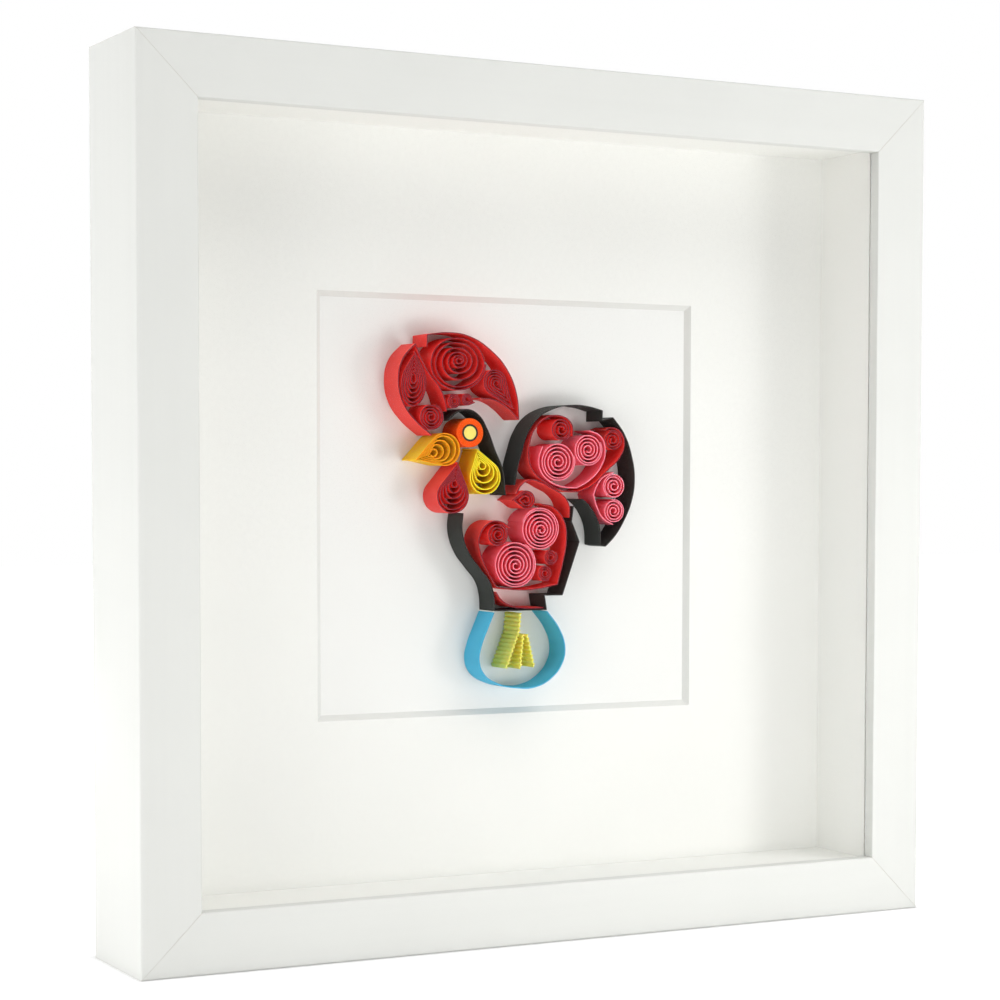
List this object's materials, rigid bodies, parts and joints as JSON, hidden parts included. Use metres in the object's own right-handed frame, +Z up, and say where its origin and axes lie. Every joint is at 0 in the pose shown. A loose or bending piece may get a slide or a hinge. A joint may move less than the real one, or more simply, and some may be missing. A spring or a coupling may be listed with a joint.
{
  "type": "framed quilled paper art",
  "caption": "Deep square white box frame with a bevelled mat and a cockerel made of quilled paper strips standing on edge.",
  "frame": {"origin": "middle of the frame's underside, where it stands", "axes": "+X along the width, +Y from the front to the back, +Z up"},
  "size_m": [0.25, 0.04, 0.25],
  "materials": {
    "frame_white": "smooth white paint",
    "fillet_white": "matte white",
    "clear_glass": "clear, low reflection",
    "mat_white": "fine matte board with a white core",
    "card_white": "smooth matte card",
    "board_brown": "plain fibreboard",
    "steel": "plated",
    "paper_red": "matte quilling paper",
    "paper_pink": "matte quilling paper",
    "paper_black": "matte quilling paper",
    "paper_cream": "matte quilling paper",
    "paper_orange": "matte quilling paper",
    "paper_amber": "matte quilling paper",
    "paper_yellow": "matte quilling paper",
    "paper_blue": "matte quilling paper"
  },
  "bodies": {
    "root": {"bottom_rail": "frame_white", "left_stile": "frame_white", "top_rail": "frame_white", "right_stile": "frame_white", "left_spacer": "fillet_white", "right_spacer": "fillet_white", "top_spacer": "fillet_white", "bottom_spacer": "fillet_white", "glazing": "clear_glass", "window_mat": "mat_white", "artwork_card": "card_white", "back_board": "board_brown", "corner_v_nails": "steel", "retaining_points": "steel", "sawtooth_hanger": "steel", "hanger_rivets": "steel", "comb_left_petal": "paper_red", "comb_rim": "paper_red", "comb_big_coil": "paper_red", "comb_left_coil": "paper_red", "comb_petal_coil": "paper_red", "comb_small_coil_left": "paper_red", "comb_small_coil_right": "paper_red", "comb_tip_coil": "paper_red", "wattle": "paper_red", "body_left_coil": "paper_red", "body_small_coil_upper": "paper_red", "body_small_coil_lower": "paper_red", "breast_teardrop": "paper_red", "breast_strip": "paper_red", "tail_red_heart": "paper_red", "tail_red_coil_left": "paper_red", "tail_red_coil_right": "paper_red", "body_heart": "paper_red", "lower_body_strip": "paper_red", "body_upper_coil": "paper_pink", "body_lower_coil": "paper_pink", "tail_pink_heart": "paper_pink", "tail_pink_coil_left": "paper_pink", "tail_pink_coil_right": "paper_pink", "small_pink_heart": "paper_pink", "small_pink_coil_upper": "paper_pink", "small_pink_coil_lower": "paper_pink", "head_strip": "paper_black", "body_outline": "paper_black", "tail_outline": "paper_black", "eye_black_ring": "paper_black", "eye_disc": "paper_cream", "eye_orange_ring": "paper_orange", "beak": "paper_amber", "ear_lobe": "paper_yellow", "blue_base": "paper_blue", "left_toe_strip": "paper_yellow", "middle_toe_strip": "paper_yellow", "right_toe_strip": "paper_yellow"}
  },
  "joints": []
}
